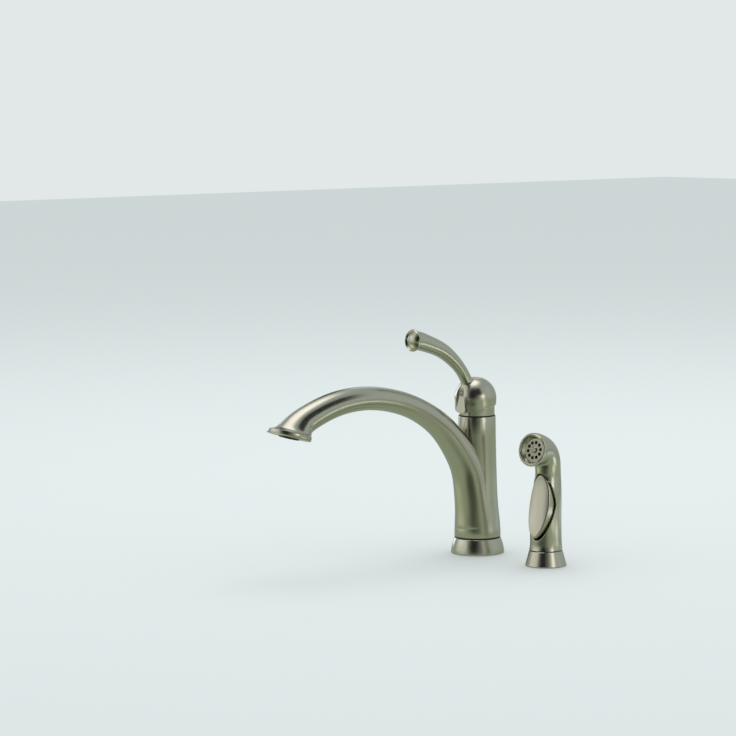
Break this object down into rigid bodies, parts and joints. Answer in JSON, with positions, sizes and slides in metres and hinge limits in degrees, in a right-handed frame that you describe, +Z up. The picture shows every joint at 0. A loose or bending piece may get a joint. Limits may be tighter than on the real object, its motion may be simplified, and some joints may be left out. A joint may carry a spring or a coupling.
{
  "type": "kitchen faucet with side spray",
  "caption": "Kitchen faucet with a swinging arched spout, a joystick lever on top and a pull-out hand spray with a squeeze trigger in its own deck holder.",
  "frame": {"origin": "axis of the faucet hole at the top of the deck", "axes": "+Z up, the spout points along -Y, and the side spray stands at +X"},
  "size_m": [0.1498, 0.2767, 0.2841],
  "materials": {
    "satin_nickel": "brushed satin nickel plating",
    "button_plastic": "light grey plastic",
    "brass": "machined brass",
    "steel": "stainless steel",
    "rubber": "black rubber",
    "black_plastic": "black moulded plastic",
    "grey_plastic": "dark grey moulded plastic",
    "ceramic": "lapped ceramic"
  },
  "bodies": {
    "deck_body": {"base_ring": "satin_nickel", "base_gasket": "rubber", "valve_body": "brass", "spout_o_rings": "rubber", "diverter_seat": "brass", "glide_ring": "black_plastic", "clamp_gasket": "rubber", "clamp_washer": "steel", "clamp_nut": "brass", "base_seal": "rubber", "cartridge_housing": "black_plastic", "fixed_disc": "ceramic", "cartridge_nut": "brass", "bonnet": "satin_nickel", "spray_holder": "satin_nickel", "holder_liner": "black_plastic", "holder_gasket": "rubber", "holder_clamp_gasket": "rubber", "holder_nut": "black_plastic"},
    "spout": {"spout_body": "satin_nickel", "aerator_housing": "satin_nickel", "aerator_washer": "rubber", "aerator_insert": "grey_plastic"},
    "cartridge_carrier": {"stem_carrier": "black_plastic", "pivot_pin": "steel"},
    "lever_handle": {"handle": "satin_nickel", "lever_cap": "satin_nickel", "temperature_button": "button_plastic", "set_screw": "steel", "spindle": "steel"},
    "disc_pack": {"moving_disc": "ceramic", "disc_carriage": "black_plastic"},
    "diverter": {"diverter_piston": "black_plastic"},
    "wand": {"wand_shell": "satin_nickel", "trigger_pin": "steel", "valve_cartridge": "black_plastic", "face_ring": "satin_nickel", "spray_face": "satin_nickel", "face_screw": "satin_nickel", "hose_nipple": "brass"},
    "trigger_paddle": {"trigger": "satin_nickel"},
    "spray_valve": {"valve_stem": "steel"}
  },
  "joints": [
    {"name": "spout_swing", "type": "hinge", "parent": "deck_body", "child": "spout", "pos_m": [0, 0, 0.0164], "axis": [0, 0, 1], "range_deg": [-60, 60]},
    {"name": "handle_turn", "type": "hinge", "parent": "deck_body", "child": "cartridge_carrier", "pos_m": [0, 0, 0.1346], "axis": [0, 0, 1], "range_deg": [-45, 45]},
    {"name": "handle_lift", "type": "hinge", "parent": "cartridge_carrier", "child": "lever_handle", "pos_m": [0, 0, 0.1415], "axis": [-1, 0, 0], "range_deg": [0, 22]},
    {"name": "disc_shift", "type": "slide", "parent": "cartridge_carrier", "child": "disc_pack", "axis": [0, -1, 0], "range_m": [0, 0.0034]},
    {"name": "diverter_lift", "type": "slide", "parent": "deck_body", "child": "diverter", "axis": [0, 0, 1], "range_m": [0, 0.003]},
    {"name": "wand_lift", "type": "slide", "parent": "deck_body", "child": "wand", "axis": [0, 0, 1], "range_m": [0, 0.16]},
    {"name": "trigger_squeeze", "type": "hinge", "parent": "wand", "child": "trigger_paddle", "pos_m": [0.10247, -0.00492, 0.0825], "axis": [0.9848, 0.1736, 0], "range_deg": [0, 3.5], "stiffness_Nm_per_rad": 0.6, "springref_deg": -4.58},
    {"name": "valve_push", "type": "slide", "parent": "wand", "child": "spray_valve", "axis": [-0.1736, 0.9848, 0], "range_m": [0, 0.0014]}
  ],
  "couplings": [
    {"joint": "disc_shift", "follows": "handle_lift", "m_per_rad": 0.0083},
    {"joint": "valve_push", "follows": "trigger_squeeze", "m_per_rad": 0.0205}
  ]
}
